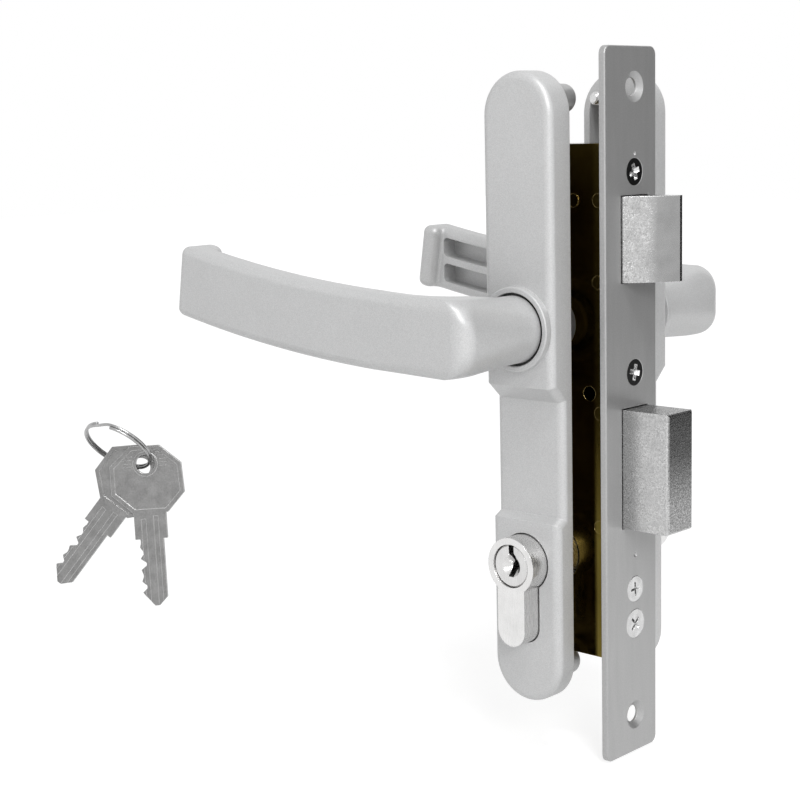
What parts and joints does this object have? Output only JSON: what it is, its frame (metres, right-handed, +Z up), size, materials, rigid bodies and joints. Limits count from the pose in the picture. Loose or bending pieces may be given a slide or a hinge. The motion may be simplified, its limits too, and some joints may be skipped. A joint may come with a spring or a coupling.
{
  "type": "mortice door lock with lever handles",
  "caption": "Narrow mortice lock with bevelled latch and deadbolt, lever handles on long plates, profile key cylinder, and spare keys on a split ring.",
  "frame": {"origin": "centre of the faceplate's outer face, midway between its two fixing holes", "axes": "+X out of the door's edge the way the bolts shoot, -Y towards the outside of the door, +Z up"},
  "size_m": [0.171, 0.1673, 0.21],
  "materials": {
    "faceplate_steel": "satin, fine upright grain",
    "screw_black": "blackened steel",
    "screw_zinc": "bright zinc plate",
    "case_dark": "dark bronze passivated zinc, glossy",
    "rivet_steel": "zinc plate, yellowed",
    "mechanism_steel": "pressed steel",
    "spring_steel": "spring wire",
    "spindle_steel": "drawn bar",
    "bolt_zinc": "mottled zinc plate",
    "cylinder_nickel": "satin nickel plate",
    "plug_nickel": "satin nickel plate",
    "silver_paint": "satin silver paint",
    "post_steel": "silver paint below, bare thread sleeve above",
    "bush_nylon": "moulded",
    "ring_steel": "polished wire",
    "key_nickel": "pressed, nickel plate"
  },
  "bodies": {
    "lockset": {"faceplate": "faceplate_steel", "upper_face_screws": "screw_black", "lower_face_screw": "screw_zinc", "cylinder_screw": "screw_zinc", "case_body": "case_dark", "case_cover": "case_dark", "case_pillars": "rivet_steel", "cover_rivets": "rivet_steel", "handle_spring": "spring_steel", "latch_spring_pin": "mechanism_steel", "latch_spring": "spring_steel", "cylinder_body": "cylinder_nickel", "outside_plate": "silver_paint", "inside_plate": "silver_paint", "mounting_posts": "post_steel", "through_screws": "screw_zinc", "outside_bush": "bush_nylon", "inside_bush": "bush_nylon", "key_ring": "ring_steel"},
    "handle": {"outside_lever": "silver_paint", "inside_lever": "silver_paint", "spindle": "spindle_steel", "follower": "mechanism_steel", "outside_circlip": "spring_steel", "inside_circlip": "spring_steel", "outside_grub_screw": "screw_black", "inside_grub_screw": "screw_black"},
    "latch": {"latch_bolt": "bolt_zinc"},
    "deadbolt": {"deadbolt": "bolt_zinc"},
    "key_cam": {"outside_plug": "plug_nickel", "inside_plug": "plug_nickel", "cam": "mechanism_steel", "clutch": "mechanism_steel"},
    "front_key": {"key_front": "key_nickel"},
    "rear_key": {"key_rear": "key_nickel"}
  },
  "joints": [
    {"name": "handle_turn", "type": "hinge", "parent": "lockset", "child": "handle", "pos_m": [-0.0235, 0, 0.025], "axis": [0, -1, 0], "range_deg": [0, 40], "stiffness_Nm_per_rad": 1, "springref_deg": -20.05, "deforming": ["handle_spring"]},
    {"name": "latch_slide", "type": "slide", "parent": "lockset", "child": "latch", "axis": [1, 0, 0], "range_m": [-0.0122, 0], "deforming": ["latch_spring"]},
    {"name": "key_turn", "type": "hinge", "parent": "lockset", "child": "key_cam", "pos_m": [-0.0235, 0, -0.045], "axis": [0, -1, 0], "range_deg": [0, 63]},
    {"name": "deadbolt_slide", "type": "slide", "parent": "lockset", "child": "deadbolt", "axis": [1, 0, 0], "range_m": [-0.0161, 0]},
    {"name": "key_front_swing", "type": "hinge", "parent": "lockset", "child": "front_key", "pos_m": [-0.1343, -0.0758, -0.0202], "axis": [0.6772, -0.7182, 0.1597], "range_deg": [-30, 30]},
    {"name": "key_rear_swing", "type": "hinge", "parent": "lockset", "child": "rear_key", "pos_m": [-0.13701, -0.07518, -0.02144], "axis": [0.6772, -0.7182, 0.1597], "range_deg": [-30, 40]}
  ],
  "couplings": [
    {"joint": "latch_slide", "follows": "handle_turn", "m_per_rad": -0.017189},
    {"joint": "deadbolt_slide", "follows": "key_turn", "m_per_rad": -0.014551}
  ]
}
